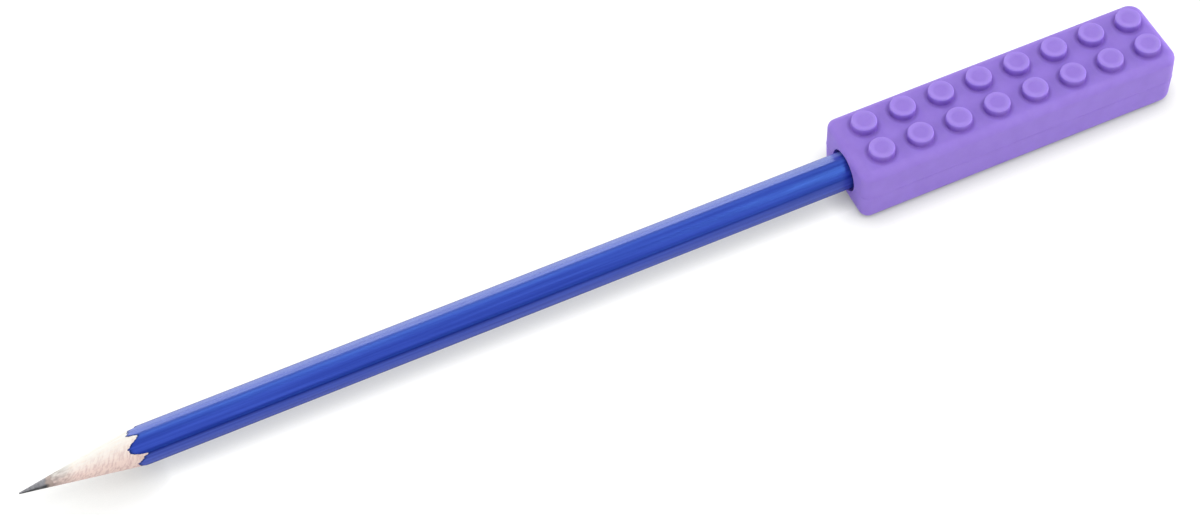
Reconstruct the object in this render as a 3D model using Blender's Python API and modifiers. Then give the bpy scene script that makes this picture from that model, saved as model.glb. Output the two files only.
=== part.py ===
"""Chewable pencil topper, pushed over the eraser end of a sharpened six-sided pencil.

Metres, +Z up. The origin is the centre of the topper's flat underside. The pencil lies along X,
with its point towards -X, and one edge of its barrel is uppermost.
"""

import math

import bmesh
import bpy
from mathutils import Matrix

# Studs of the topper, in two rows along its top face
STUD_COLUMNS = 8
STUD_ROWS = 2
STUD_PITCH = 0.0082
STUD_ROW_PITCH = 0.0072
STUD_DIAMETER = 0.005
STUD_HEIGHT = 0.0016
STUD_RIM_RADIUS = 0.0004
STUD_DISH_DIAMETER = 0.0026
STUD_DISH_DEPTH = 0.00015
STUD_DRAFT = 0.0001
STUD_ROOT = 0.0005

# Block of the topper
MOUTH_MARGIN = 0.0061
END_MARGIN = 0.0048
SIDE_MARGIN = 0.0049
BORE_WALL = 0.0021
BLOCK_EDGE_RADIUS = 0.00175
MOUTH_LAND = 0.0001

# Bore of the topper
BORE_CLEARANCE = 0.0003
BORE_END_GAP = 0.0003
BORE_END_RADIUS = 0.0008
BORE_LIP_RADIUS = 0.00025

# Pencil
PENCIL_LENGTH = 0.184
INSERTION_DEPTH = 0.0205
BARREL_ACROSS_FLATS = 0.0068
BARREL_EDGE_RADIUS = 0.0005
COAT_THICKNESS = 0.00012
LEAD_DIAMETER = 0.0021
POINT_DIAMETER = 0.0003
SHARPENED_HALF_ANGLE = math.radians(8.75)
BOND_GAP = 0.00005

# Ferrule and eraser
FERRULE_LENGTH = 0.013
FERRULE_WALL = 0.00025
FERRULE_RIBS = 3
FERRULE_RIB_HEIGHT = 0.0002
FERRULE_RIB_PITCH = 0.0012
FERRULE_RIB_START = 0.001
TENON_STEP = 0.00015
TENON_LENGTH = 0.0055
ERASER_EXPOSED = 0.006
ERASER_EDGE_RADIUS = 0.0008

# Facets of round forms
STUD_STEPS = 24
ROUND_STEPS = 48
ARC_STEPS = 3
BLOCK_EDGE_STEPS = 3
BARREL_EDGE_STEPS = 2
RIB_STEPS = 4
SHARP_ANGLE = math.radians(40)
ROUND_PROFILE = 0.5

# Sizes that follow from those above
TOPPER_LENGTH = MOUTH_MARGIN + (STUD_COLUMNS - 1) * STUD_PITCH + END_MARGIN
TOPPER_WIDTH = (STUD_ROWS - 1) * STUD_ROW_PITCH + 2 * SIDE_MARGIN
BARREL_CORNER_RADIUS = BARREL_ACROSS_FLATS / math.sqrt(3)
BORE_RADIUS = BARREL_CORNER_RADIUS + BORE_CLEARANCE
BORE_DEPTH = INSERTION_DEPTH + BORE_END_GAP
TOPPER_HEIGHT = 2 * (BORE_RADIUS + BORE_WALL)
AXIS_HEIGHT = TOPPER_HEIGHT / 2
MOUTH_X = -TOPPER_LENGTH / 2
POINT_X = MOUTH_X - (PENCIL_LENGTH - INSERTION_DEPTH)
FERRULE_END = PENCIL_LENGTH - ERASER_EXPOSED
SHOULDER = FERRULE_END - FERRULE_LENGTH
WOOD_END = SHOULDER + TENON_LENGTH
WOOD_ACROSS_FLATS = BARREL_ACROSS_FLATS - 2 * (COAT_THICKNESS + BOND_GAP)
TENON_RADIUS = WOOD_ACROSS_FLATS / 2 - TENON_STEP
LEAD_RADIUS = LEAD_DIAMETER / 2
POINT_RADIUS = POINT_DIAMETER / 2
FERRULE_INNER_RADIUS = TENON_RADIUS + BOND_GAP
FERRULE_OUTER_RADIUS = FERRULE_INNER_RADIUS + FERRULE_WALL

# Turns a shape built along Z so that it runs along X, point first
ALONG_X = (0, math.pi / 2, 0)


def cone_distance(radius):
    """Distance from the point to where the sharpened cone reaches a radius."""
    return (radius - POINT_RADIUS) / math.tan(SHARPENED_HALF_ANGLE)


def arc(centre, radius, start_degrees, end_degrees, steps=ARC_STEPS):
    """Points of an arc in a profile, as pairs of radius and height."""
    points = []
    for step in range(steps + 1):
        angle = math.radians(start_degrees + (end_degrees - start_degrees) * step / steps)
        points.append((centre[0] + radius * math.cos(angle), centre[1] + radius * math.sin(angle)))
    return points


def clear_scene():
    for item in list(bpy.data.objects):
        bpy.data.objects.remove(item)


def new_collection(name):
    collection = bpy.data.collections.new(name)
    bpy.context.scene.collection.children.link(collection)
    return collection


def new_material(name, colour, roughness, metallic=0.0):
    material = bpy.data.materials.new(name)
    material.use_nodes = True
    shader = material.node_tree.nodes["Principled BSDF"]
    shader.inputs["Base Color"].default_value = (*colour, 1.0)
    shader.inputs["Roughness"].default_value = roughness
    shader.inputs["Metallic"].default_value = metallic
    return material


def add_axis(name, x, collection):
    """Empty on the pencil's axis whose local Z runs from the point to the eraser."""
    empty = bpy.data.objects.new(name, None)
    empty.location = (x, 0, AXIS_HEIGHT)
    empty.rotation_euler = ALONG_X
    collection.objects.link(empty)
    return empty


def add_object(name, mesh, collection, parent=None):
    item = bpy.data.objects.new(name, mesh)
    item.parent = parent
    collection.objects.link(item)
    return item


def as_cutter(item):
    item.hide_render = True
    item.display_type = "WIRE"
    return item


def add_boolean(item, operand, operation):
    modifier = item.modifiers.new(operation.lower(), "BOOLEAN")
    modifier.operation = operation
    modifier.object = operand


def add_bevel(item, width, segments):
    modifier = item.modifiers.new("rounded_edges", "BEVEL")
    modifier.width = width
    modifier.segments = segments
    modifier.limit_method = "ANGLE"
    modifier.angle_limit = SHARP_ANGLE


def add_array(item, name, count, offset):
    modifier = item.modifiers.new(name, "ARRAY")
    modifier.count = count
    modifier.use_relative_offset = False
    modifier.use_constant_offset = True
    modifier.constant_offset_displace = offset


def turned(name, profile, collection, parent=None, steps=ROUND_STEPS, closed=False):
    """Solid of revolution about local Z, from a profile that runs down its outer side."""
    mesh = bpy.data.meshes.new(name)
    shape = bmesh.new()
    points = [shape.verts.new((radius, 0, height)) for radius, height in profile]
    for first, second in zip(points, points[1:]):
        shape.edges.new((first, second))
    if closed:
        shape.edges.new((points[-1], points[0]))
    shape.to_mesh(mesh)
    shape.free()
    item = add_object(name, mesh, collection, parent)
    screw = item.modifiers.new("turned", "SCREW")
    screw.steps = steps
    screw.render_steps = steps
    screw.use_merge_vertices = True
    screw.merge_threshold = 1e-6
    screw.use_smooth_shade = True
    return item


def hexagon_bar(name, across_flats, low, high, collection, parent, kept_side=0):
    """Six-sided bar along local Z with rounded edges, one of them uppermost.

    With a kept side of -1 or 1 only the half on that side of the glue plane is left.
    """
    mesh = bpy.data.meshes.new(name)
    shape = bmesh.new()
    corner_radius = across_flats / math.sqrt(3)
    edge_setback = BARREL_EDGE_RADIUS * math.tan(math.pi / 6)
    quarter_turn = Matrix.Rotation(math.pi / 2, 4, "Z")
    placed = Matrix.Translation((0, 0, (low + high) / 2)) @ quarter_turn
    bmesh.ops.create_cone(
        shape, cap_ends=True, segments=6, radius1=corner_radius, radius2=corner_radius,
        depth=high - low, matrix=placed)
    long_edges = [edge for edge in shape.edges if edge.verts[0].co.z != edge.verts[1].co.z]
    bmesh.ops.bevel(
        shape, geom=long_edges, offset=edge_setback, segments=BARREL_EDGE_STEPS,
        profile=ROUND_PROFILE, affect="EDGES")
    if kept_side:
        cut = bmesh.ops.bisect_plane(
            shape, geom=shape.verts[:] + shape.edges[:] + shape.faces[:],
            plane_co=(0, kept_side * BOND_GAP / 2, 0), plane_no=(0, -kept_side, 0),
            clear_outer=True)
        rim = [item for item in cut["geom_cut"] if isinstance(item, bmesh.types.BMEdge)]
        bmesh.ops.holes_fill(shape, edges=rim)
        bmesh.ops.recalc_face_normals(shape, faces=shape.faces[:])
    shape.to_mesh(mesh)
    shape.free()
    return add_object(name, mesh, collection, parent)


def box(name, low, high, collection, parent=None):
    """Box between two corners, with its size in the mesh and no scale on the object."""
    mesh = bpy.data.meshes.new(name)
    shape = bmesh.new()
    size = [b - a for a, b in zip(low, high)]
    middle = [(a + b) / 2 for a, b in zip(low, high)]
    placed = Matrix.Translation(middle) @ Matrix.Diagonal((*size, 1))
    bmesh.ops.create_cube(shape, size=1, matrix=placed)
    shape.to_mesh(mesh)
    shape.free()
    return add_object(name, mesh, collection, parent)


def make_studs(cutters):
    """Pattern of low studs with a rounded rim and a slightly dished top."""
    radius = STUD_DIAMETER / 2
    top = TOPPER_HEIGHT + STUD_HEIGHT
    rim = arc((radius - STUD_RIM_RADIUS, top - STUD_RIM_RADIUS), STUD_RIM_RADIUS, 90, 0)
    profile = [(0, top - STUD_DISH_DEPTH), (STUD_DISH_DIAMETER / 2, top - STUD_DISH_DEPTH)]
    profile += rim
    profile.append((radius + STUD_DRAFT, TOPPER_HEIGHT))
    profile.append((radius + STUD_DRAFT, TOPPER_HEIGHT - STUD_ROOT))
    profile.append((0, TOPPER_HEIGHT - STUD_ROOT))
    studs = turned("stud_pattern", profile, cutters, steps=STUD_STEPS)
    studs.location = (MOUTH_X + MOUTH_MARGIN, -(STUD_ROWS - 1) * STUD_ROW_PITCH / 2, 0)
    add_array(studs, "columns", STUD_COLUMNS, (STUD_PITCH, 0, 0))
    add_array(studs, "rows", STUD_ROWS, (0, STUD_ROW_PITCH, 0))
    return as_cutter(studs)


def make_bore(cutters, axis):
    """Blind round bore with a rounded end and a rolled lip at the mouth."""
    end = BORE_END_RADIUS
    lip = BORE_LIP_RADIUS
    profile = [(0, BORE_DEPTH)]
    profile += arc((BORE_RADIUS - end, BORE_DEPTH - end), end, 90, 0)
    profile += arc((BORE_RADIUS + lip, lip), lip, 180, 270)
    profile += [(BORE_RADIUS + lip, -lip), (0, -lip)]
    return as_cutter(turned("bore", profile, cutters, axis))


def make_topper(parts, cutters, axis):
    """Soft block, one moulding with its studs, bored from the mouth end."""
    low = (-AXIS_HEIGHT, -TOPPER_WIDTH / 2, 0)
    high = (AXIS_HEIGHT, TOPPER_WIDTH / 2, TOPPER_LENGTH)
    topper = box("topper", low, high, parts, axis)
    widest_edge = BORE_WALL - BORE_LIP_RADIUS - MOUTH_LAND
    add_bevel(topper, min(BLOCK_EDGE_RADIUS, widest_edge), BLOCK_EDGE_STEPS)
    add_boolean(topper, make_studs(cutters), "UNION")
    add_boolean(topper, make_bore(cutters, axis), "DIFFERENCE")
    return topper


def make_sharpened_envelope(cutters, axis):
    """Turned envelope of the barrel: cone at the point, round tenon at the ferrule."""
    outside = 2 * BARREL_CORNER_RADIUS
    profile = [
        (0, WOOD_END),
        (TENON_RADIUS, WOOD_END),
        (TENON_RADIUS, SHOULDER),
        (outside, SHOULDER),
        (outside, cone_distance(outside)),
        (0, cone_distance(0)),
    ]
    return as_cutter(turned("sharpened_envelope", profile, cutters, axis))


def make_slat(name, side, envelope, groove, parts, axis):
    """One half of the wooden barrel, on the given side of the glue plane."""
    slat = hexagon_bar(name, WOOD_ACROSS_FLATS, 0, PENCIL_LENGTH, parts, axis, side)
    add_boolean(slat, envelope, "INTERSECT")
    add_boolean(slat, groove, "DIFFERENCE")
    return slat


def make_groove(cutters, axis):
    """Round channel for the lead, right through both slats."""
    radius = LEAD_RADIUS + BOND_GAP
    profile = [(0, PENCIL_LENGTH), (radius, PENCIL_LENGTH), (radius, -radius), (0, -radius)]
    return as_cutter(turned("lead_groove", profile, cutters, axis))


def make_coat(envelope, parts, cutters, axis):
    """Paint skin of the barrel, cut to a scalloped edge by the sharpened cone."""
    inner_flats = BARREL_ACROSS_FLATS - 2 * COAT_THICKNESS
    beyond = BARREL_CORNER_RADIUS
    coat = hexagon_bar("lacquer_coat", BARREL_ACROSS_FLATS, 0, SHOULDER, parts, axis)
    inside = as_cutter(hexagon_bar(
        "coat_inside", inner_flats, -beyond, PENCIL_LENGTH, cutters, axis))
    add_boolean(coat, inside, "DIFFERENCE")
    add_boolean(coat, envelope, "INTERSECT")
    return coat


def make_lead(parts, axis):
    """Graphite core with its sharpened point."""
    profile = [
        (0, WOOD_END),
        (LEAD_RADIUS, WOOD_END),
        (LEAD_RADIUS, cone_distance(LEAD_RADIUS)),
        (POINT_RADIUS, 0),
        (0, 0),
    ]
    return turned("lead", profile, parts, axis)


def make_ferrule(parts, axis):
    """Thin metal sleeve with crimped ribs over the tenon and a plain end round the eraser."""
    ribs_top = SHOULDER + FERRULE_RIB_START + FERRULE_RIBS * FERRULE_RIB_PITCH
    outer = [(FERRULE_OUTER_RADIUS, FERRULE_END)]
    for step in range(FERRULE_RIBS * RIB_STEPS + 1):
        lift = FERRULE_RIB_HEIGHT * (1 - math.cos(2 * math.pi * step / RIB_STEPS)) / 2
        height = ribs_top - FERRULE_RIB_PITCH * step / RIB_STEPS
        outer.append((FERRULE_OUTER_RADIUS + lift, height))
    outer.append((FERRULE_OUTER_RADIUS, SHOULDER + BOND_GAP))
    inner = [(FERRULE_INNER_RADIUS, SHOULDER + BOND_GAP), (FERRULE_INNER_RADIUS, FERRULE_END)]
    return turned("ferrule", outer + inner, parts, axis, closed=True)


def make_eraser(parts, axis):
    """Rubber plug, seated on the tenon inside the ferrule."""
    edge = ERASER_EDGE_RADIUS
    profile = [(0, PENCIL_LENGTH)]
    profile += arc((TENON_RADIUS - edge, PENCIL_LENGTH - edge), edge, 90, 0)
    profile += [(TENON_RADIUS, WOOD_END + BOND_GAP), (0, WOOD_END + BOND_GAP)]
    return turned("eraser", profile, parts, axis)


def main():
    clear_scene()
    parts = new_collection("chewable_pencil_topper")
    cutters = new_collection("cutters")
    pencil_axis = add_axis("pencil_axis", POINT_X, parts)
    topper_axis = add_axis("topper_axis", MOUTH_X, parts)
    envelope = make_sharpened_envelope(cutters, pencil_axis)
    groove = make_groove(cutters, pencil_axis)
    elastomer = new_material("soft_lilac_elastomer", (0.31, 0.19, 0.70), 0.55)
    paint = new_material("blue_lacquer", (0.04, 0.08, 0.43), 0.2)
    cedar = new_material("cedar", (0.90, 0.78, 0.68), 0.75)
    graphite = new_material("graphite", (0.07, 0.07, 0.08), 0.4, 0.4)
    metal = new_material("crimped_aluminium", (0.78, 0.78, 0.80), 0.3, 1.0)
    rubber = new_material("pink_rubber", (0.75, 0.33, 0.30), 0.8)
    finished = [
        (make_topper(parts, cutters, topper_axis), elastomer),
        (make_coat(envelope, parts, cutters, pencil_axis), paint),
        (make_slat("front_slat", -1, envelope, groove, parts, pencil_axis), cedar),
        (make_slat("rear_slat", 1, envelope, groove, parts, pencil_axis), cedar),
        (make_lead(parts, pencil_axis), graphite),
        (make_ferrule(parts, pencil_axis), metal),
        (make_eraser(parts, pencil_axis), rubber),
    ]
    for item, material in finished:
        item.data.materials.append(material)


main()
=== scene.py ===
"""Looks of a chewable pencil topper on its pencil: fine meshes, finishes, light and camera."""

import math

import bmesh
import bpy
from mathutils import Matrix, Vector, noise


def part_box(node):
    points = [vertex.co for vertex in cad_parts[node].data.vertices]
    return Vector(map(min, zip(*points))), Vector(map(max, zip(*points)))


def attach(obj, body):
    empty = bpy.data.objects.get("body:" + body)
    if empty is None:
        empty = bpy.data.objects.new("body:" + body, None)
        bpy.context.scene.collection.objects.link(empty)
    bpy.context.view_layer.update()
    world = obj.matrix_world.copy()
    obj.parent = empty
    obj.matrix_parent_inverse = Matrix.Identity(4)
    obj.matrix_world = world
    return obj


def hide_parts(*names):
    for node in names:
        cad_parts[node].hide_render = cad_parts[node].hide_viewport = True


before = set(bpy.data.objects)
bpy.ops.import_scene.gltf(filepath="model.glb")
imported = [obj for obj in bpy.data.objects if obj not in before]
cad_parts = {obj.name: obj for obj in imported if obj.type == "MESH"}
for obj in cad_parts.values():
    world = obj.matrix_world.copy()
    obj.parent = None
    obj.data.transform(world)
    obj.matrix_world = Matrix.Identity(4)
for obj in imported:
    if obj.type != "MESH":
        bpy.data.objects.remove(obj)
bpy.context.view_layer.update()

# Facets of the barrel and shares of a turn
FACETS = 6
TURN = 2 * math.pi
QUARTER = math.pi / 2
SIXTH = math.pi / 3
TWELFTH = math.pi / 6

# Places read from the frame, in metres
topper_low, topper_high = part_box("topper")
coat_low, coat_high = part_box("lacquer_coat")
slat_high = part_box("front_slat")[1]
lead_low, lead_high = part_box("lead")
ferrule_low, ferrule_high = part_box("ferrule")
eraser_low, eraser_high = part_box("eraser")

POINT_X = lead_low.x
MOUTH_X = topper_low.x
AXIS_HEIGHT = (coat_low.z + coat_high.z) / 2
ACROSS_FLATS = coat_high.y - coat_low.y
LEAD_RADIUS = (lead_high.z - lead_low.z) / 2
ERASER_RADIUS = (eraser_high.z - eraser_low.z) / 2

# Distances along the pencil from its point
COAT_END = coat_high.x - POINT_X
WOOD_END = slat_high.x - POINT_X
LEAD_END = lead_high.x - POINT_X
FERRULE_START = ferrule_low.x - POINT_X
FERRULE_END = ferrule_high.x - POINT_X
ERASER_START = eraser_low.x - POINT_X
ERASER_END = eraser_high.x - POINT_X

# Topper
STUD_COLUMNS = 8
STUD_ROWS = 2
STUD_PITCH = 0.0082
STUD_ROW_PITCH = 0.0072
STUD_RADIUS = 0.00248
STUD_HEIGHT = 0.0016
STUD_RIM_RADIUS = 0.0003
STUD_RIM_WIDTH = 0.0009
STUD_DISH_DEPTH = 0.0001
STUD_DRAFT = 0.00006
STUD_FILLET = 0.00022
STUD_ROOT = 0.0005
STUD_SIDES = 64
FLARE_SINK = 0.00002
FLARE_END_DEGREES = 268
END_MARGIN = 0.0048
BLOCK_EDGE_RADIUS = 0.00175
ROUNDING_STEPS = 10
MOUTH_CORNER_RADIUS = 0.0019
END_CORNER_RADIUS = 0.0028
MOULD_DRAFT = 0.0001
SEAM_RIDGE = 0.00003
SEAM_THICKNESS = 0.00014
SEAM_CORNER_STEPS = 12
BORE_RADIUS = 0.004226
BORE_DEPTH = 0.0208
BORE_LIP_RADIUS = 0.0003
BORE_END_RADIUS = 0.0008
BORE_SIDES = 96
CAP_RADIUS = 0.0002

# Sharpened point, whose rounding is in shares of its wear and radius from the tip back
POINT_RADIUS = 0.00015
POINT_WEAR = 0.00012
POINT_ROUNDING = ((0.0, 0.35), (0.3, 0.75))
SHARPENED_SLOPE = math.tan(math.radians(8.75))
CONE_END = 0.027
LEAD_CONE_END = (LEAD_RADIUS - POINT_RADIUS) / SHARPENED_SLOPE
LEAD_SHOULDER = 0.002
LEAD_CLEARANCE = 0.00001
LEAD_SIDES = 64
LEAD_ROWS = 48

# Barrel
FACET_CROWN = 0.0115
EDGE_BLEND = 0.00024
EDGE_SPREAD = math.radians(6)
BARREL_EDGE_STEPS = 10
FACET_STEPS = 30
COAT_THICKNESS = 0.00012
COAT_LIP = 0.0002
COAT_LIP_INSET = COAT_THICKNESS / 4
COAT_ROWS = 46
LEAST_WOOD = 0.00002
WOOD_SINK = 0.00002
WOOD_FRONT_WEAR = 0.00028
WOOD_HALF_STEPS = 84
WOOD_CONE_ROWS = 80
SHOULDER_STEP = 0.00001
TENON_STEP = 0.00015

# Cut edge of the paint, with the facets' shortened tongues counted from +Y
CUT_EDGE_BLEND = 0.00008
CUT_SKEW = math.radians(12)
TONGUE_BLUNT = 0.0002
TONGUE_SHORTENED = (0.0006, -0.0003, -0.0007, 0.0002, 0.0004, 0.0007)
COAT_EVEN_FROM = 0.034
COAT_CUT_SHARES = (0.0, 0.012, 0.03, 0.05, 0.12, 0.3, 0.6)
CUT_MARK = "cut_mark"
CUT_MARK_WEIGHTS = (1.0, 1.0, 0.7, 0.2)

# Ferrule and eraser
FERRULE_RIBS = 3
FERRULE_RIB_HEIGHT = 0.0002
FERRULE_RIB_PITCH = 0.0012
FERRULE_RIB_START = 0.001
FERRULE_RIBS_AT = FERRULE_START + FERRULE_RIB_START
FERRULE_WALL = 0.00025
FERRULE_DENTS = 10
FERRULE_DENT_GAP = 0.0012
FERRULE_DENT_RADIUS = 0.0006
FERRULE_DENT_DEPTH = 0.00012
FERRULE_DENTS_AT = FERRULE_RIBS_AT + FERRULE_RIBS * FERRULE_RIB_PITCH + FERRULE_DENT_GAP
FERRULE_RADIUS = (ferrule_high.z - ferrule_low.z) / 2 - FERRULE_RIB_HEIGHT
FERRULE_EDGE_CURL = 0.0001
FERRULE_INNER_SETBACK = 0.00006
FERRULE_SIDES = 120
FERRULE_ROWS = 110
ERASER_EDGE_RADIUS = 0.0008
ERASER_END_SHARES = (0.5, 0.25, 0.06)
ERASER_SIDES = 72
ERASER_ROWS = 24

# Uneven surfaces: layers of a depth with its waves for each radian round and each metre along
PAINT_CHIPS = ((0.00035, 4.3), (0.00055, 11.0), (0.0004, 23.0))
WOOD_FRONT_CHIPS = ((0.00022, 2.2), (0.0001, 9.0))
WOOD_FUZZ = ((0.000016, 9, 900), (0.00001, 40, 2500))

# Uneven wear: a depth and its waves
PAINT_RIPPLE = 0.000012
PAINT_RIPPLES_ROUND = 2
PAINT_RIPPLES_ALONG = 60
LEAD_WEAR = 0.000014
LEAD_WEAR_ROUND = 2
LEAD_WEAR_ALONG = 1600
ERASER_WEAR = 0.00006
ERASER_WEAR_WAVES = 600
NOISE_OFFSET = 0.37

# Elastomer: its colours, with a painted highlight on the studs' rims and painted shade at their feet
LILAC_DEEP = (0.303, 0.190, 0.675)
LILAC = (0.333, 0.217, 0.720)
# Paler lilac painted on the studs' rims as a highlight
LILAC_RIM_HIGHLIGHT = (0.46, 0.33, 0.90)
# Deeper lilac painted at the studs' feet as shade in the creases
LILAC_CREASE_SHADE = (0.17, 0.075, 0.42)
RIM_INNER_FADE = 0.0013
RIM_OUTER_FADE = 0.0005
RIM_TOP_FADE = 0.0002
RIM_HIGHLIGHT_SHARE = 0.35
CREASE_SINK = 0.0004
CREASE_WIDTH = 0.0009
CREASE_WALL_SHARES = (0.3, 0.95)
CREASE_SHADE_SHARE = 0.75

# Lacquer: its colours, and the places of its painted highlight on the facet that faces up and back, its
# painted dark reflections on the edges below the top one, and its darker cut edge
PAINT_DEEP = (0.021, 0.037, 0.34)
PAINT = (0.042, 0.077, 0.49)
# Paler blue painted on the facet that faces up and back as a highlight
PAINT_FACET_HIGHLIGHT = (0.19, 0.25, 0.68)
# Dark blue painted on the barrel's lower edges as a reflection of dark surroundings; the top edge keeps
# nearly the paint's own colour
PAINT_EDGE_DARK_REFLECTION = (0.0, 0.002, 0.18)
PAINT_TOP_EDGE = (0.045, 0.08, 0.42)
PAINT_CUT = (0.003, 0.012, 0.10)
PAINT_GLOSS = (0.10, 0.29, 0.75)
UPPER_BACK_FACET = (0, math.cos(SIXTH), math.sin(SIXTH))
FACET_HIGHLIGHT_FACING = (0.9, 1.0)
FACET_HIGHLIGHT_FADE = (math.radians(58), math.radians(74))
FACET_HIGHLIGHT_SHARE = 0.8
ARRIS_FADE = (0.04, 0.2)
ARRIS_DEPTH_FADE = (0.09, 0.15)
ARRIS_REFLECTION_SHARES = (0.95, 0.5)
TOP_EDGE_FADE = (AXIS_HEIGHT + 0.0026, AXIS_HEIGHT + 0.0034)
CUT_SHARE = 0.8

# Cedar: its colours, its pinker painted shade on the side facing away from the light, the blade's marks
# and the rubbed-in graphite
WOOD_DEEP = (0.98, 0.90, 0.80)
WOOD = (1.0, 0.97, 0.90)
WOOD_PALE = (1.0, 0.99, 0.94)
# Pinker, darker tone painted as shade on the side facing away from the light
WOOD_PINK_SHADE = (0.91, 0.715, 0.645)
WOOD_SPOTS = (0.62, 0.41, 0.40)
WOOD_RUBBED = (0.24, 0.19, 0.18)
WOOD_LIT_SIDE = (0, 0.64, 0.77)
WOOD_SHADE_FACING = (-0.2, 0.92)
BLADE_SLANT = math.radians(-50)
BLADE_RADIUS = LEAD_RADIUS * 2
BLADE_STRETCH = 0.4
SPOT_NOISE = (0.45, 0.62)
SPOT_SHARE = 0.6
RUBBED_FADE = (0.0060, 0.0105)
RUBBED_NOISE = (0.32, 0.62)
RUBBED_SHARES = (0.3, 0.85)

# Graphite: its colours, its painted highlight on top and the wood's dust at the back of its cone
GRAPHITE_DEEP = (0.012, 0.012, 0.014)
GRAPHITE = (0.03, 0.03, 0.035)
GRAPHITE_PALE = (0.08, 0.08, 0.09)
# Pale grey painted where the lead faces up as a highlight
GRAPHITE_HIGHLIGHT = (0.31, 0.31, 0.335)
WOOD_DUST = (0.42, 0.33, 0.29)
GRAPHITE_HIGHLIGHT_FACING = (0.4, 0.8)
GRAPHITE_HIGHLIGHT_SHARE = 0.8
STREAK_NOISE = (0.35, 0.6)
STREAK_SHARES = (0.55, 1.0)
DUST_FADE = (0.0056, 0.0062)
DUST_RAGGED = 0.0016
DUST_SHARE = 0.85

# Ferrule metal: its colours, and the painted shade in its grooves and dents in shares of a rib's pitch
# and a dent
METAL_DEEP = (0.46, 0.46, 0.48)
METAL = (0.57, 0.57, 0.59)
# Dark grey painted in the grooves and dents as shade
METAL_GROOVE_SHADE = (0.12, 0.12, 0.13)
GROOVE_WAVE = (0.1, 1.0)
GROOVE_FADE = (0.1, 0.3)
DENT_FLOOR_SHARE = 0.3
GROOVE_SHADE_SHARE = 0.85

# Eraser rubber: its colours and its smudged end
RUBBER_DEEP = (0.66, 0.26, 0.24)
RUBBER = (0.78, 0.36, 0.33)
RUBBER_SMUDGE = (0.24, 0.15, 0.15)
SMUDGE_FADE = (ERASER_END - 0.0025, ERASER_END - 0.0008)
SMUDGE_NOISE = (0.4, 0.7)
SMUDGE_SHARE = 0.6

# Ranges: where noise mostly lies, and full strength coming in and going out
NOISE_RANGE = (0.3, 0.7)
RISING = (0.0, 1.0)
FALLING = (1.0, 0.0)

# Sockets of a colour's mix node, by number because several share a name
MIX_FACTOR = 0
MIX_FIRST = 6
MIX_SECOND = 7
MIX_RESULT = 2

# Stage
WHITE = (1.0, 1.0, 1.0)
TABLE_PLAIN = (0.8, 0.8, 0.8)
TABLE_SHADED = (0.36, 0.365, 0.35)
TABLE_HALF_SIZE = 4.0
TABLE_FADE = (0.4, 1.0)
TABLE_GLOW = (0.78, 1.0)
SHADOW_REACH = 0.0046
POINT_SHADOW_REACH = 0.013
POINT_SHADOW_FADE = (0.012, 0.026)
SURROUND_LEVEL = 0.16
SEEN_LEVEL = 1.0


# Mesh tools

def around(distance, radius, angle):
    """Point on the pencil: distance from its point, radius from its axis and angle from +Y."""
    side = radius * math.cos(angle)
    height = AXIS_HEIGHT + radius * math.sin(angle)
    return Vector((POINT_X + distance, side, height))


def waver(*place):
    """Smooth noise between about -1 and 1 at a place given in its own units."""
    padded = list(place) + [NOISE_OFFSET] * (3 - len(place))
    return noise.noise(Vector(padded))


def unevenness(layers, *place):
    """Sum of layers of noise, each a depth with its waves in every direction of the place."""
    total = 0.0
    for depth, *waves in layers:
        total += depth * waver(*(where * count for where, count in zip(place, waves)))
    return total


def worn_away(depth, *place):
    """Uneven wear at a place, from about nothing to twice the depth, below the full surface."""
    return depth * (waver(*place) - 1)


def arc(centre, radius, start, end, steps):
    """Points on a circle in a plane, from one angle to another, in degrees."""
    points = []
    for step in range(steps + 1):
        angle = math.radians(start + (end - start) * step / steps)
        points.append((centre[0] + radius * math.cos(angle), centre[1] + radius * math.sin(angle)))
    return points


def even_turn(steps):
    """Angles at even steps round a full turn."""
    return [TURN * step / steps for step in range(steps)]


def finish_mesh(shape, name, sharp_angle=None):
    """Mesh from a bmesh, with its faces pointing out and smooth up to an angle."""
    bmesh.ops.recalc_face_normals(shape, faces=shape.faces)
    if shape.calc_volume(signed=True) < 0:
        bmesh.ops.reverse_faces(shape, faces=shape.faces)
    mesh = bpy.data.meshes.new(name)
    shape.to_mesh(mesh)
    shape.free()
    mesh.shade_smooth()
    if sharp_angle is not None:
        mesh.set_sharp_from_angle(angle=sharp_angle)
    return mesh


def add_skin(shape, rings, ends="capped"):
    """Rows of vertices with faces over them, whose ends are capped, joined or left open."""
    rows = [[shape.verts.new(point) for point in ring] for ring in rings]
    pairs = list(zip(rows, rows[1:]))
    if ends == "joined":
        pairs.append((rows[-1], rows[0]))
    for low, high in pairs:
        for here in range(len(low)):
            after = (here + 1) % len(low)
            shape.faces.new((low[here], low[after], high[after], high[here]))
    if ends == "capped":
        shape.faces.new(rows[0])
        shape.faces.new(rows[-1])
    return rows


def turned_rings(profile, place, sides):
    """Rings of a turned shape: place maps (radius, height, angle) to a point."""
    rings = []
    for radius, height in profile:
        rings.append([place(radius, height, angle) for angle in even_turn(sides)])
    return rings


def combine(name, base, joins, cuts):
    """One mesh from a base mesh with others joined to it and cut out of it."""
    scene = bpy.context.scene
    whole = bpy.data.objects.new(name, base)
    scene.collection.objects.link(whole)
    helpers = []
    for operation, meshes in (("UNION", joins), ("DIFFERENCE", cuts)):
        for mesh in meshes:
            helper = bpy.data.objects.new(mesh.name, mesh)
            scene.collection.objects.link(helper)
            helpers.append(helper)
            step = whole.modifiers.new(mesh.name, "BOOLEAN")
            step.operation = operation
            step.object = helper
            step.solver = "EXACT"
    evaluated = whole.evaluated_get(bpy.context.evaluated_depsgraph_get())
    result = bpy.data.meshes.new_from_object(evaluated)
    result.name = name
    for helper in helpers + [whole]:
        bpy.data.objects.remove(helper)
    return result


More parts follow.
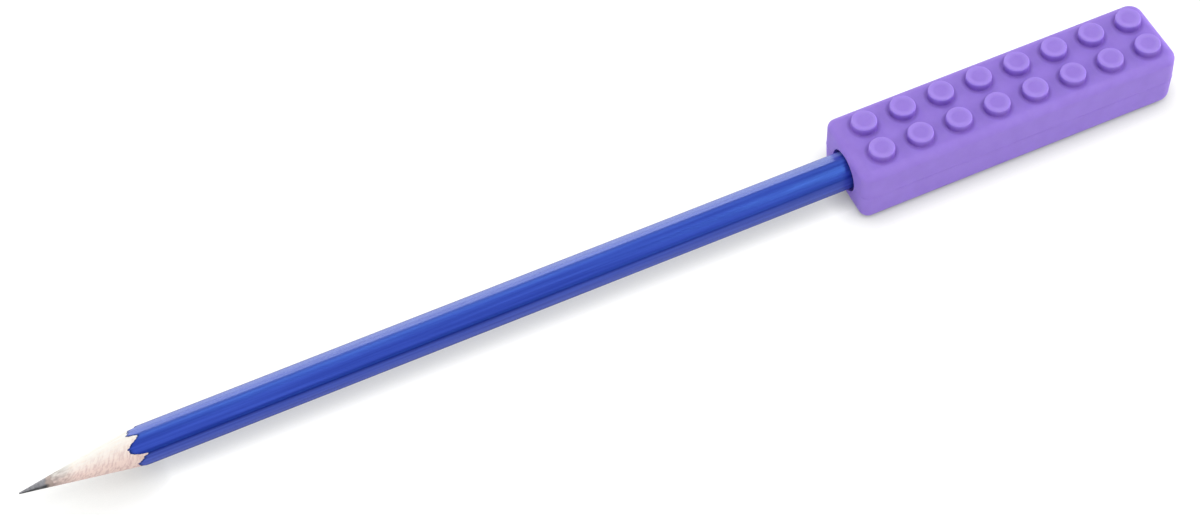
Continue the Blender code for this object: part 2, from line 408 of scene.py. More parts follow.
def add_piece(name, mesh, body, node, finish):
    """A piece that rides on a body and stands for a CAD node."""
    mesh.materials.clear()
    mesh.materials.append(finish)
    piece = bpy.data.objects.new(name, mesh)
    bpy.context.scene.collection.objects.link(piece)
    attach(piece, body)
    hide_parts(node)
    return piece


# Node tools

def set_inputs(tree, node, inputs):
    """Inputs of a node, by name or number, set to plain values or linked to other sockets."""
    for key, value in inputs.items():
        socket = node.inputs[key]
        if isinstance(value, bpy.types.NodeSocket):
            tree.links.new(value, socket)
        elif socket.type == "RGBA":
            socket.default_value = (*value, 1.0)
        else:
            socket.default_value = value


def add_node(tree, kind, inputs=None, **settings):
    """A node with its settings, and with its inputs set or linked."""
    node = tree.nodes.new(kind)
    for name, value in settings.items():
        setattr(node, name, value)
    set_inputs(tree, node, inputs or {})
    return node


def new_finish(name, values):
    """A material, its node tree and its Principled shader with the plain values set."""
    material = bpy.data.materials.new(name)
    material.use_nodes = True
    tree = material.node_tree
    shader = tree.nodes["Principled BSDF"]
    set_inputs(tree, shader, values)
    return material, tree, shader


def own_coordinates(tree):
    """The piece's own coordinates over its surface, as one socket."""
    return add_node(tree, "ShaderNodeTexCoord").outputs["Object"]


def own_place(tree):
    """The piece's own coordinates over its surface, as three sockets."""
    return add_node(tree, "ShaderNodeSeparateXYZ", {"Vector": own_coordinates(tree)}).outputs


def fine_noise(tree, place, scale, detail, distortion=0.0):
    """Noise over a place."""
    inputs = {"Vector": place, "Scale": scale, "Detail": detail, "Distortion": distortion}
    return add_node(tree, "ShaderNodeTexNoise", inputs).outputs["Fac"]


def grain(tree, scale, detail, stretch=(1, 1, 1), distortion=0.0):
    """Noise over the piece's own coordinates, drawn out where its stretch is small."""
    mapped = add_node(tree, "ShaderNodeMapping", {"Vector": own_coordinates(tree), "Scale": stretch})
    return fine_noise(tree, mapped.outputs["Vector"], scale, detail, distortion)


def ramp(tree, factor, stops):
    """Colour that follows a factor through stops of (position, colour)."""
    node = add_node(tree, "ShaderNodeValToRGB", {"Fac": factor})
    elements = node.color_ramp.elements
    while len(elements) < len(stops):
        elements.new(1.0)
    for element, (position, colour) in zip(elements, stops):
        element.position = position
        element.color = (*colour, 1.0)
    return node.outputs["Color"]


def two_tone(tree, factor, first, second):
    """Colour that follows noise from one colour to another."""
    return ramp(tree, factor, list(zip(NOISE_RANGE, (first, second))))


def span(tree, value, source, target):
    """Value carried from one range to another and kept inside it."""
    inputs = {"Value": value, "From Min": source[0], "From Max": source[1]}
    inputs.update({"To Min": target[0], "To Max": target[1]})
    return add_node(tree, "ShaderNodeMapRange", inputs).outputs["Result"]


def blend_colour(tree, factor, first, second):
    """First colour, turning to the second with the factor."""
    inputs = {MIX_FACTOR: factor, MIX_FIRST: first, MIX_SECOND: second}
    return add_node(tree, "ShaderNodeMix", inputs, data_type="RGBA").outputs[MIX_RESULT]


def calculate(tree, operation, *values):
    """Result of an operation on sockets and plain numbers."""
    inputs = dict(enumerate(values))
    return add_node(tree, "ShaderNodeMath", inputs, operation=operation).outputs["Value"]


def product(tree, first, *others):
    """Product of sockets and plain numbers."""
    result = first
    for other in others:
        result = calculate(tree, "MULTIPLY", result, other)
    return result


def length_of(tree, along, aside):
    """Length of a line with two sides at right angles."""
    squares = [product(tree, side, side) for side in (along, aside)]
    return calculate(tree, "SQRT", calculate(tree, "ADD", *squares))


def bump(tree, height, depth, strength, under=None):
    """Surface that follows a height to a depth in metres, laid over another where there is one."""
    inputs = {"Height": height, "Distance": depth, "Strength": strength}
    if under is not None:
        inputs["Normal"] = under
    return add_node(tree, "ShaderNodeBump", inputs).outputs["Normal"]


def distance_from_point(tree):
    """Distance along the pencil from its point, over its surface."""
    return calculate(tree, "SUBTRACT", own_place(tree)["X"], POINT_X)


def facing(tree, direction):
    """How far the piece's own surface faces a direction, from -1 to 1."""
    normal = add_node(tree, "ShaderNodeTexCoord").outputs["Normal"]
    inputs = {0: normal, 1: Vector(direction).normalized()}
    return add_node(tree, "ShaderNodeVectorMath", inputs, operation="DOT_PRODUCT").outputs["Value"]


def turn_about_axis(tree):
    """Angle round the pencil's axis, from +Y."""
    place = own_place(tree)
    height = calculate(tree, "SUBTRACT", place["Z"], AXIS_HEIGHT)
    return calculate(tree, "ARCTAN2", height, place["Y"])


def turn_from_arris(tree):
    """Angle round the pencil's axis from the nearest edge of its barrel."""
    from_top = calculate(tree, "SUBTRACT", turn_about_axis(tree), QUARTER)
    return calculate(tree, "ABSOLUTE", calculate(tree, "WRAP", from_top, TWELFTH, -TWELFTH))


def blade_marks(tree, scale):
    """Noise drawn out along the slanting path of a sharpener's blade round the cone."""
    along = own_place(tree)["X"]
    aside = product(tree, turn_about_axis(tree), BLADE_RADIUS)
    axes = []
    for turned, stretch in ((BLADE_SLANT, BLADE_STRETCH), (BLADE_SLANT + QUARTER, 1.0)):
        share = product(tree, along, math.cos(turned) * stretch)
        rest = product(tree, aside, math.sin(turned) * stretch)
        axes.append(calculate(tree, "ADD", share, rest))
    place = add_node(tree, "ShaderNodeCombineXYZ", {"X": axes[0], "Y": axes[1]})
    return fine_noise(tree, place.outputs["Vector"], scale, detail=3.0)


def distance_from_stud(tree):
    """Distance over the topper from the axis of the nearest stud."""
    place = own_place(tree)
    last = stud_centre(STUD_COLUMNS - 1, STUD_ROWS - 1)
    along = calculate(tree, "SUBTRACT", place["X"], last.x)
    column = calculate(tree, "ROUND", calculate(tree, "DIVIDE", along, STUD_PITCH))
    column = calculate(tree, "MINIMUM", calculate(tree, "MAXIMUM", column, 0), STUD_COLUMNS - 1)
    along = calculate(tree, "SUBTRACT", along, product(tree, column, STUD_PITCH))
    aside = calculate(tree, "SUBTRACT", calculate(tree, "ABSOLUTE", place["Y"]), last.y)
    return length_of(tree, along, aside)


def ferrule_grooves(tree):
    """One in the grooves beside the ferrule's ribs, and nothing elsewhere."""
    along = calculate(tree, "SUBTRACT", distance_from_point(tree), FERRULE_RIBS_AT)
    ribs = calculate(tree, "DIVIDE", along, FERRULE_RIB_PITCH)
    wave = calculate(tree, "COSINE", product(tree, ribs, TURN))
    near, far = GROOVE_FADE
    begun = span(tree, ribs, (-far, -near), RISING)
    ended = span(tree, ribs, (FERRULE_RIBS + near, FERRULE_RIBS + far), FALLING)
    return product(tree, span(tree, wave, GROOVE_WAVE, RISING), begun, ended)


def ferrule_dents(tree):
    """One in the middle of the ferrule's dents, falling to nothing at their edges."""
    half_step = math.pi / FERRULE_DENTS
    turn = calculate(tree, "WRAP", turn_about_axis(tree), half_step, -half_step)
    aside = product(tree, turn, FERRULE_RADIUS)
    along = calculate(tree, "SUBTRACT", distance_from_point(tree), FERRULE_DENTS_AT)
    floor_and_edge = (DENT_FLOOR_SHARE * FERRULE_DENT_RADIUS, FERRULE_DENT_RADIUS)
    return span(tree, length_of(tree, along, aside), floor_and_edge, FALLING)


# Finishes

def make_elastomer():
    """Soft lilac elastomer with a satin skin, a painted highlight on the studs' rims and painted shade
    at their feet.
    """
    values = {
        "Subsurface Weight": 0.25,
        "Subsurface Radius": (1.0, 0.6, 1.4),
        "Subsurface Scale": 0.0005,
        "Specular IOR Level": 0.3,
    }
    material, tree, shader = new_finish("elastomer", values)
    mottle = grain(tree, scale=320, detail=4.0)
    skin = grain(tree, scale=3200, detail=2.0)
    aside = distance_from_stud(tree)
    height = calculate(tree, "SUBTRACT", own_place(tree)["Z"], topper_high.z - STUD_HEIGHT)
    colour = two_tone(tree, mottle, LILAC_DEEP, LILAC)
    # Painted highlight: the studs' rims are made paler, standing in for light on their rounded edges.
    top_fade = (STUD_HEIGHT - STUD_RIM_RADIUS, STUD_HEIGHT - RIM_TOP_FADE)
    rim_fade = (STUD_RADIUS - RIM_INNER_FADE, STUD_RADIUS - RIM_OUTER_FADE)
    on_top = span(tree, height, top_fade, (0.0, RIM_HIGHLIGHT_SHARE))
    rim_highlight = product(tree, on_top, span(tree, aside, rim_fade, RISING))
    colour = blend_colour(tree, rim_highlight, colour, LILAC_RIM_HIGHLIGHT)
    # Painted shade: the studs' feet and the block next to them are made deeper, standing in for shade in
    # the creases.
    wall_fade = [STUD_HEIGHT * share for share in CREASE_WALL_SHARES]
    on_block = span(tree, height, (-CREASE_SINK, 0.0), (0.0, CREASE_SHADE_SHARE))
    on_wall = span(tree, height, wall_fade, FALLING)
    foot = span(tree, aside, (STUD_RADIUS, STUD_RADIUS + CREASE_WIDTH), FALLING)
    colour = blend_colour(tree, product(tree, on_block, on_wall, foot), colour, LILAC_CREASE_SHADE)
    roughness = span(tree, mottle, NOISE_RANGE, (0.5, 0.62))
    normal = bump(tree, mottle, depth=0.0002, strength=0.015)
    normal = bump(tree, skin, depth=0.00003, strength=0.1, under=normal)
    set_inputs(tree, shader, {"Base Color": colour, "Roughness": roughness, "Normal": normal})
    return material


def make_lacquer():
    """Blue gloss paint that shows the run of the wood below it, with a painted highlight on the facet
    that faces up and back and painted dark reflections on its lower edges.
    """
    values = {"Specular IOR Level": 0.75, "Specular Tint": PAINT_GLOSS}
    material, tree, shader = new_finish("lacquer", values)
    run = grain(tree, scale=1500, detail=3.0, stretch=(0.02, 1, 1))
    thin = grain(tree, scale=4200, detail=2.0, stretch=(0.03, 1, 1))
    colour = two_tone(tree, run, PAINT_DEEP, PAINT)
    # Painted highlight: the facet that faces up and back is made paler towards the back, standing in for
    # a bright reflection at a grazing angle.
    facet_highlight = span(tree, facing(tree, UPPER_BACK_FACET), FACET_HIGHLIGHT_FACING, (0.0, FACET_HIGHLIGHT_SHARE))
    outer = span(tree, turn_about_axis(tree), FACET_HIGHLIGHT_FADE, FALLING)
    colour = blend_colour(tree, product(tree, facet_highlight, outer), colour, PAINT_FACET_HIGHLIGHT)
    # Painted reflection: the edges are made dark blue, most strongly near the point, standing in for
    # dark surroundings mirrored in them; the top edge is spared.
    arris_reflection = span(tree, turn_from_arris(tree), ARRIS_FADE, FALLING)
    depth = span(tree, distance_from_point(tree), ARRIS_DEPTH_FADE, ARRIS_REFLECTION_SHARES)
    on_top = span(tree, own_place(tree)["Z"], TOP_EDGE_FADE, RISING)
    edge = blend_colour(tree, on_top, PAINT_EDGE_DARK_REFLECTION, PAINT_TOP_EDGE)
    colour = blend_colour(tree, product(tree, arris_reflection, depth), colour, edge)
    # Darker paint along the cut edge.
    cut = add_node(tree, "ShaderNodeAttribute", attribute_name=CUT_MARK).outputs["Fac"]
    colour = blend_colour(tree, product(tree, cut, CUT_SHARE), colour, PAINT_CUT)
    roughness = span(tree, thin, NOISE_RANGE, (0.14, 0.26))
    normal = bump(tree, run, depth=0.00006, strength=0.07)
    normal = bump(tree, thin, depth=0.00003, strength=0.06, under=normal)
    set_inputs(tree, shader, {"Base Color": colour, "Roughness": roughness, "Normal": normal})
    return material


def make_cedar():
    """Freshly cut wood, pale above and pinker in front, the pinker tone being painted shade where it
    faces away from the light above and behind; with blade marks, stronger in that painted shade, and
    rubbed-in graphite.
    """
    material, tree, shader = new_finish("cedar", {"Specular IOR Level": 0.25, "Roughness": 0.8})
    fibre = grain(tree, scale=3200, detail=4.0, stretch=(0.08, 1, 1), distortion=0.4)
    marks = blade_marks(tree, scale=2100)
    smear = grain(tree, scale=2600, detail=3.0, stretch=(0.3, 1, 1))
    colour = ramp(tree, fibre, [(0.3, WOOD_DEEP), (0.46, WOOD), (0.7, WOOD_PALE)])
    # Painted shade: a pinker, darker tone where the wood faces away from the light above and behind; the
    # blade's spots are strongest there too.
    shaded = span(tree, facing(tree, WOOD_LIT_SIDE), WOOD_SHADE_FACING, FALLING)
    colour = blend_colour(tree, shaded, colour, WOOD_PINK_SHADE)
    spots = product(tree, span(tree, marks, SPOT_NOISE, (0.0, SPOT_SHARE)), shaded)
    colour = blend_colour(tree, spots, colour, WOOD_SPOTS)
    near = span(tree, distance_from_point(tree), RUBBED_FADE, FALLING)
    rubbed = product(tree, near, span(tree, smear, RUBBED_NOISE, RUBBED_SHARES))
    colour = blend_colour(tree, rubbed, colour, WOOD_RUBBED)
    normal = bump(tree, fibre, depth=0.00008, strength=0.25)
    normal = bump(tree, marks, depth=0.00006, strength=0.3, under=normal)
    set_inputs(tree, shader, {"Base Color": colour, "Normal": normal})
    return material


def make_graphite():
    """Sharpened lead with turning marks, a low metallic sheen, a painted highlight along its top and
    wood dust where the wood begins.
    """
    material, tree, shader = new_finish("graphite", {"Metallic": 0.3, "Specular IOR Level": 0.5})
    marks = grain(tree, scale=2200, detail=4.0, stretch=(1, 0.25, 0.25))
    smudge = grain(tree, scale=1500, detail=3.0, stretch=(0.4, 1, 1))
    colour = ramp(tree, smudge, [(0.32, GRAPHITE_DEEP), (0.52, GRAPHITE), (0.7, GRAPHITE_PALE)])
    # Painted highlight: paler grey streaks where the lead faces up, standing in for light from above.
    top_highlight = span(tree, facing(tree, (0, 0, 1)), GRAPHITE_HIGHLIGHT_FACING, (0.0, GRAPHITE_HIGHLIGHT_SHARE))
    streak = span(tree, marks, STREAK_NOISE, STREAK_SHARES)
    colour = blend_colour(tree, product(tree, top_highlight, streak), colour, GRAPHITE_HIGHLIGHT)
    uneven = product(tree, smudge, DUST_RAGGED)
    ragged = calculate(tree, "ADD", distance_from_point(tree), uneven)
    dusty = span(tree, ragged, DUST_FADE, (0.0, DUST_SHARE))
    colour = blend_colour(tree, dusty, colour, WOOD_DUST)
    roughness = span(tree, marks, NOISE_RANGE, (0.3, 0.5))
    normal = bump(tree, marks, depth=0.00006, strength=0.4)
    normal = bump(tree, smudge, depth=0.00004, strength=0.3, under=normal)
    set_inputs(tree, shader, {"Base Color": colour, "Roughness": roughness, "Normal": normal})
    return material


def make_ferrule_metal():
    """Drawn aluminium with fine marks round it, and painted shade in its grooves and dents."""
    material, tree, shader = new_finish("ferrule_metal", {"Metallic": 1.0})
    drawn = grain(tree, scale=900, detail=4.0, stretch=(6, 0.3, 0.3))
    haze = grain(tree, scale=500, detail=3.0)
    colour = two_tone(tree, haze, METAL_DEEP, METAL)
    # Painted shade: the grooves and dents are made darker, standing in for shade in these hollows.
    groove_shade = calculate(tree, "MAXIMUM", ferrule_grooves(tree), ferrule_dents(tree))
    colour = blend_colour(tree, product(tree, groove_shade, GROOVE_SHADE_SHARE), colour, METAL_GROOVE_SHADE)
    roughness = span(tree, drawn, NOISE_RANGE, (0.2, 0.38))
    normal = bump(tree, drawn, depth=0.00003, strength=0.2)
    set_inputs(tree, shader, {"Base Color": colour, "Roughness": roughness, "Normal": normal})
    return material


def make_eraser_rubber():
    """Matte pink rubber with a fine grit and a worn, smudged end."""
    material, tree, shader = new_finish("eraser_rubber", {"Specular IOR Level": 0.3, "Roughness": 0.85})
    grit = grain(tree, scale=5000, detail=2.0)
    tone = grain(tree, scale=700, detail=4.0)
    colour = two_tone(tree, tone, RUBBER_DEEP, RUBBER)
    worn = span(tree, distance_from_point(tree), SMUDGE_FADE, (0.0, SMUDGE_SHARE))
    smudge = product(tree, worn, span(tree, tone, SMUDGE_NOISE, RISING))
    colour = blend_colour(tree, smudge, colour, RUBBER_SMUDGE)
    normal = bump(tree, grit, depth=0.00006, strength=0.5)
    set_inputs(tree, shader, {"Base Color": colour, "Normal": normal})
    return material


# Topper

def round_edges(shape, edges, radius):
    """Edges of a bmesh rounded to a radius."""
    bmesh.ops.bevel(
        shape, geom=edges, offset=radius, offset_type="OFFSET",
        segments=ROUNDING_STEPS, profile=0.5, affect="EDGES", clamp_overlap=True,
    )


def lies_at(vertex, height):
    """Whether a vertex lies at a height, to within the parting line's thickness."""
    return abs(vertex.co.z - height) < SEAM_THICKNESS


def block_mesh(low, high, seam_height):
    """Moulded block, drafted up and down from its seam: rounder upright corners at the closed end."""
    shape = bmesh.new()
    middle = (low + high) / 2
    bmesh.ops.create_cube(shape, size=1.0)
    bmesh.ops.transform(shape, matrix=Matrix.Diagonal((*(high - low), 1.0)), verts=shape.verts)
    bmesh.ops.translate(shape, vec=middle, verts=shape.verts)
    plane = {"plane_co": (0, 0, seam_height), "plane_no": (0, 0, 1)}
    everything = shape.verts[:] + shape.edges[:] + shape.faces[:]
    bmesh.ops.bisect_plane(shape, geom=everything, **plane)
    for vertex in shape.verts:
        if not lies_at(vertex, seam_height):
            vertex.co.x -= math.copysign(MOULD_DRAFT, vertex.co.x - middle.x)
            vertex.co.y -= math.copysign(MOULD_DRAFT, vertex.co.y - middle.y)
    for radius, side in ((MOUTH_CORNER_RADIUS, -1), (END_CORNER_RADIUS, 1)):
        upright = []
        for edge in shape.edges:
            first, second = edge.verts
            if not lies_at(first, second.co.z) and (first.co.x - middle.x) * side > 0:
                upright.append(edge)
        round_edges(shape, upright, radius)
    for height in (low.z, high.z):
        level = [edge for edge in shape.edges if all(lies_at(vertex, height) for vertex in edge.verts)]
        round_edges(shape, level, BLOCK_EDGE_RADIUS)
    return finish_mesh(shape, "block")


def seam_mesh(low, high, seam_height):
    """Thin slab that leaves the mould's parting line standing round the block."""
    mouth = MOUTH_CORNER_RADIUS
    end = END_CORNER_RADIUS
    corners = (
        (high.x - end, high.y - end, end, 0),
        (low.x + mouth, high.y - mouth, mouth, 90),
        (low.x + mouth, low.y + mouth, mouth, 180),
        (high.x - end, low.y + end, end, 270),
    )
    outline = []
    for along, across, radius, start in corners:
        outline += arc((along, across), radius, start, start + 90, SEAM_CORNER_STEPS)
    rings = []
    for height in (seam_height - SEAM_THICKNESS / 2, seam_height + SEAM_THICKNESS / 2):
        rings.append([Vector((x, y, height)) for x, y in outline])
    shape = bmesh.new()
    add_skin(shape, rings)
    return finish_mesh(shape, "parting_line")


def stud_profile():
    """Half section of a stud as (radius, height above the block's top), from its axis out and down."""
    rim_start = STUD_RADIUS - STUD_RIM_RADIUS
    dish_radius = rim_start - STUD_RIM_WIDTH
    dish_height = STUD_HEIGHT - STUD_DISH_DEPTH
    profile = [(CAP_RADIUS, dish_height)]
    steps = 8
    for step in range(steps + 1):
        share = step / steps
        rise = STUD_DISH_DEPTH * (1 - math.cos(math.pi * share)) / 2
        profile.append((dish_radius + STUD_RIM_WIDTH * share, dish_height + rise))
    profile += arc((rim_start, STUD_HEIGHT - STUD_RIM_RADIUS), STUD_RIM_RADIUS, 90, 0, steps)[1:]
    flare_centre = (STUD_RADIUS + STUD_DRAFT + STUD_FILLET, STUD_FILLET - FLARE_SINK)
    profile += arc(flare_centre, STUD_FILLET, 180, FLARE_END_DEGREES, steps)
    edge = profile[-1][0]
    profile += [(edge, -STUD_ROOT), (CAP_RADIUS, -STUD_ROOT)]
    return profile


def stud_centre(column, row):
    """Place of a stud's axis, counted from the closed end and the front."""
    x = topper_high.x - END_MARGIN - column * STUD_PITCH
    y = (row - (STUD_ROWS - 1) / 2) * STUD_ROW_PITCH
    return Vector((x, y, 0))


def studs_mesh(block_top):
    """All studs as separate turned bodies, set out on their pitch."""
    shape = bmesh.new()
    for column in range(STUD_COLUMNS):
        for row in range(STUD_ROWS):
            foot = stud_centre(column, row) + Vector((0, 0, block_top))

            def place(radius, height, angle, foot=foot):
                return foot + Vector((radius * math.cos(angle), radius * math.sin(angle), height))

            add_skin(shape, turned_rings(stud_profile(), place, STUD_SIDES))
    return finish_mesh(shape, "studs")


def bore_mesh():
    """Blind bore with a rounded end and a rolled lip, as a body to cut with."""
    lip = BORE_LIP_RADIUS
    end = BORE_END_RADIUS
    profile = [(BORE_RADIUS + lip, -lip)]
    profile += arc((BORE_RADIUS + lip, lip), lip, 270, 180, steps=8)
    profile += arc((BORE_RADIUS - end, BORE_DEPTH - end), end, 0, 90, steps=6)
    profile.append((CAP_RADIUS, BORE_DEPTH))

    def place(radius, depth, angle):
        height = AXIS_HEIGHT + radius * math.sin(angle)
        return Vector((MOUTH_X + depth, radius * math.cos(angle), height))

    shape = bmesh.new()
    add_skin(shape, turned_rings(profile, place, BORE_SIDES))
    return finish_mesh(shape, "bore")


def make_topper(finish):
    """Soft block with its studs, parting line and bore."""
    ridge = Vector((SEAM_RIDGE, SEAM_RIDGE, 0))
    low = topper_low + ridge
    high = topper_high - ridge
    high.z -= STUD_HEIGHT
    seam_height = AXIS_HEIGHT
    block = block_mesh(low, high, seam_height)
    joins = [seam_mesh(topper_low, topper_high, seam_height), studs_mesh(high.z)]
    mesh = combine("soft_topper", block, joins, [bore_mesh()])
    mesh.shade_smooth()
    mesh.set_sharp_from_angle(angle=math.radians(50))
    piece = add_piece("soft_topper", mesh, "topper", "topper", finish)
    weighted = piece.modifiers.new("even_normals", "WEIGHTED_NORMAL")
    weighted.keep_sharp = True


# Pencil

def facet_radius(turn, across_flats):
    """Radius of a slightly crowned facet at an angle from its middle."""
    centre = across_flats / 2 - FACET_CROWN
    return centre * math.cos(turn) + math.sqrt(FACET_CROWN ** 2 - (centre * math.sin(turn)) ** 2)


def hexagon_radius(angle, across_flats, edge_blend):
    """Radius of a six-sided barrel with crowned facets, soft edges and one edge up."""
    turn = abs((angle + TWELFTH) % SIXTH - TWELFTH)
    here = facet_radius(turn, across_flats)
    beside = facet_radius(SIXTH - turn, across_flats)
    overlap = max(edge_blend - beside + here, 0) / edge_blend
    return here - overlap ** 2 * edge_blend / 4


def hexagon_angles():
    """Angles round the six-sided barrel, close together at its edges."""
    angles = []
    for corner in range(FACETS):
        middle = QUARTER + corner * SIXTH
        for step in range(BARREL_EDGE_STEPS):
            angles.append(middle + EDGE_SPREAD * (2 * step / BARREL_EDGE_STEPS - 1))
        for step in range(FACET_STEPS):
            angles.append(middle + EDGE_SPREAD + (SIXTH - 2 * EDGE_SPREAD) * step / FACET_STEPS)
    return angles


def cone_radius(distance):
    """Radius of the sharpened end at a distance from the point."""
    return POINT_RADIUS + distance * SHARPENED_SLOPE


def paint_edge(angle):
    """Distance from the point at which the cut and chipped paint begins."""
    facet = round(angle / SIXTH)
    aside = angle - facet * SIXTH
    middle_share = 1 - (aside / TWELFTH) ** 2
    skewed = aside - CUT_SKEW * middle_share
    radius = hexagon_radius(facet * SIXTH + skewed, ACROSS_FLATS, CUT_EDGE_BLEND)
    cut = (radius - POINT_RADIUS) / SHARPENED_SLOPE
    tongue = (ACROSS_FLATS / 2 - POINT_RADIUS) / SHARPENED_SLOPE
    shortened = TONGUE_SHORTENED[facet % FACETS] * middle_share
    return max(cut, tongue + TONGUE_BLUNT) + shortened + unevenness(PAINT_CHIPS, angle)


def make_coat(finish):
    """Paint on the barrel: rounded facets, slightly uneven, with a ragged edge where it was cut."""
    angles = hexagon_angles()
    outer = [hexagon_radius(angle, ACROSS_FLATS, EDGE_BLEND) for angle in angles]
    edges = [paint_edge(angle) for angle in angles]

    def ring(distances, inset):
        points = []
        for angle, radius, distance in zip(angles, outer, distances):
            place = (angle * PAINT_RIPPLES_ROUND, distance * PAINT_RIPPLES_ALONG)
            points.append(around(distance, radius - inset + worn_away(PAINT_RIPPLE, *place), angle))
        return points

    rings = [ring([edge - COAT_LIP for edge in edges], COAT_THICKNESS)]
    for share in COAT_CUT_SHARES:
        inset = COAT_LIP_INSET if share == 0.0 else 0.0
        rings.append(ring([edge + (COAT_EVEN_FROM - edge) * share for edge in edges], inset))
    for row in range(COAT_ROWS + 1):
        distance = COAT_EVEN_FROM + (COAT_END - COAT_EVEN_FROM) * row / COAT_ROWS
        rings.append(ring([distance] * len(angles), 0.0))
    rings.append(ring([COAT_END] * len(angles), COAT_THICKNESS))
    shape = bmesh.new()
    add_skin(shape, rings, ends="joined")
    mesh = finish_mesh(shape, "paint_coat", sharp_angle=math.radians(50))
    # Rows along the cut edge carry weights for a darker paint colour there.
    cut_darkening = mesh.attributes.new(CUT_MARK, "FLOAT", "POINT")
    for row, weight in enumerate(CUT_MARK_WEIGHTS):
        for step in range(len(angles)):
            cut_darkening.data[row * len(angles) + step].value = weight
    add_piece("paint_coat", mesh, "pencil", "lacquer_coat", finish)


def wood_radius(distance, angle):
    """Outer radius of the wood: sharpened cone, six-sided barrel or turned tenon."""
    flats = ACROSS_FLATS - 2 * COAT_THICKNESS
    if distance > COAT_END:
        return flats / 2 - TENON_STEP
    barrel = hexagon_radius(angle, flats, EDGE_BLEND)
    cone = cone_radius(distance)
    if cone > barrel:
        return barrel
    return cone - WOOD_SINK + unevenness(WOOD_FUZZ, angle, distance)


def make_slat(name, node, start, finish):
    """Half of the wooden case, grooved for the lead, with a worn front edge."""
    angles = [start + math.pi * step / WOOD_HALF_STEPS for step in range(WOOD_HALF_STEPS + 1)]
    groove = LEAD_RADIUS + LEAD_CLEARANCE
    worn_front = LEAD_CONE_END + WOOD_FRONT_WEAR
    fronts = [worn_front + unevenness(WOOD_FRONT_CHIPS, angle) for angle in angles]
    stations = []
    for row in range(WOOD_CONE_ROWS + 1):
        share = row / WOOD_CONE_ROWS
        stations.append([front + (CONE_END - front) * share for front in fronts])
    for distance in (COAT_END - SHOULDER_STEP, COAT_END + SHOULDER_STEP, WOOD_END):
        stations.append([distance] * len(angles))
    rings = []
    for distances in stations:
        outside = []
        inside = []
        for distance, angle in zip(distances, angles):
            radius = max(wood_radius(distance, angle), groove + LEAST_WOOD)
            outside.append(around(distance, radius, angle))
            inside.append(around(distance, groove, angle))
        rings.append(outside + inside[::-1])
    shape = bmesh.new()
    rows = add_skin(shape, rings, ends="open")
    for row in (rows[0], rows[-1]):
        for step in range(WOOD_HALF_STEPS):
            shape.faces.new((row[step], row[step + 1], row[-2 - step], row[-1 - step]))
    mesh = finish_mesh(shape, name, sharp_angle=math.radians(40))
    add_piece(name, mesh, "pencil", node, finish)


def make_lead(finish):
    """Lead with a slightly worn point and faint turning steps."""
    stations = [(POINT_WEAR * wear, POINT_RADIUS * share) for wear, share in POINT_ROUNDING]
    for row in range(LEAD_ROWS + 1):
        distance = POINT_WEAR + (LEAD_CONE_END - POINT_WEAR) * row / LEAD_ROWS
        stations.append((distance, cone_radius(distance)))
    stations += [(LEAD_CONE_END + LEAD_SHOULDER, LEAD_RADIUS), (LEAD_END, LEAD_RADIUS)]
    rings = []
    for distance, radius in stations:
        on_cone = POINT_WEAR < distance <= LEAD_CONE_END
        ring = []
        for angle in even_turn(LEAD_SIDES):
            worn = 0.0
            if on_cone:
                side = math.cos(angle) * LEAD_WEAR_ROUND
                height = math.sin(angle) * LEAD_WEAR_ROUND
                worn = worn_away(LEAD_WEAR, side, height, distance * LEAD_WEAR_ALONG)
            ring.append(around(distance, radius + worn, angle))
        rings.append(ring)
    shape = bmesh.new()
    add_skin(shape, rings)
    mesh = finish_mesh(shape, "sharpened_lead", sharp_angle=math.radians(50))
    add_piece("sharpened_lead", mesh, "pencil", "lead", finish)


def ferrule_radius(distance, angle):
    """Outer radius of the ferrule with its rolled ribs, punched dents and curled edges."""
    radius = FERRULE_RADIUS
    ribs = (distance - FERRULE_RIBS_AT) / FERRULE_RIB_PITCH
    if 0 < ribs < FERRULE_RIBS:
        radius += FERRULE_RIB_HEIGHT * (1 - math.cos(TURN * ribs)) / 2
    dent_step = TURN / FERRULE_DENTS
    aside = ((angle / dent_step + 0.5) % 1 - 0.5) * dent_step * FERRULE_RADIUS
    gap = math.hypot(aside, distance - FERRULE_DENTS_AT) / FERRULE_DENT_RADIUS
    if gap < 1:
        radius -= FERRULE_DENT_DEPTH * (1 + math.cos(math.pi * gap)) / 2
    from_edge = min(distance - FERRULE_START, FERRULE_END - distance)
    return radius - max(FERRULE_EDGE_CURL - from_edge, 0)


def make_ferrule(finish):
    """Metal sleeve with rolled ribs, a ring of punched dents and curled edges."""
    angles = even_turn(FERRULE_SIDES)
    inner = FERRULE_RADIUS - FERRULE_WALL
    rings = [[around(FERRULE_START + FERRULE_INNER_SETBACK, inner, angle) for angle in angles]]
    for row in range(FERRULE_ROWS + 1):
        distance = FERRULE_START + (FERRULE_END - FERRULE_START) * row / FERRULE_ROWS
        rings.append([around(distance, ferrule_radius(distance, angle), angle) for angle in angles])
    rings.append([around(FERRULE_END - FERRULE_INNER_SETBACK, inner, angle) for angle in angles])
    shape = bmesh.new()
    add_skin(shape, rings, ends="joined")
    mesh = finish_mesh(shape, "crimped_ferrule", sharp_angle=math.radians(45))
    add_piece("crimped_ferrule", mesh, "pencil", "ferrule", finish)


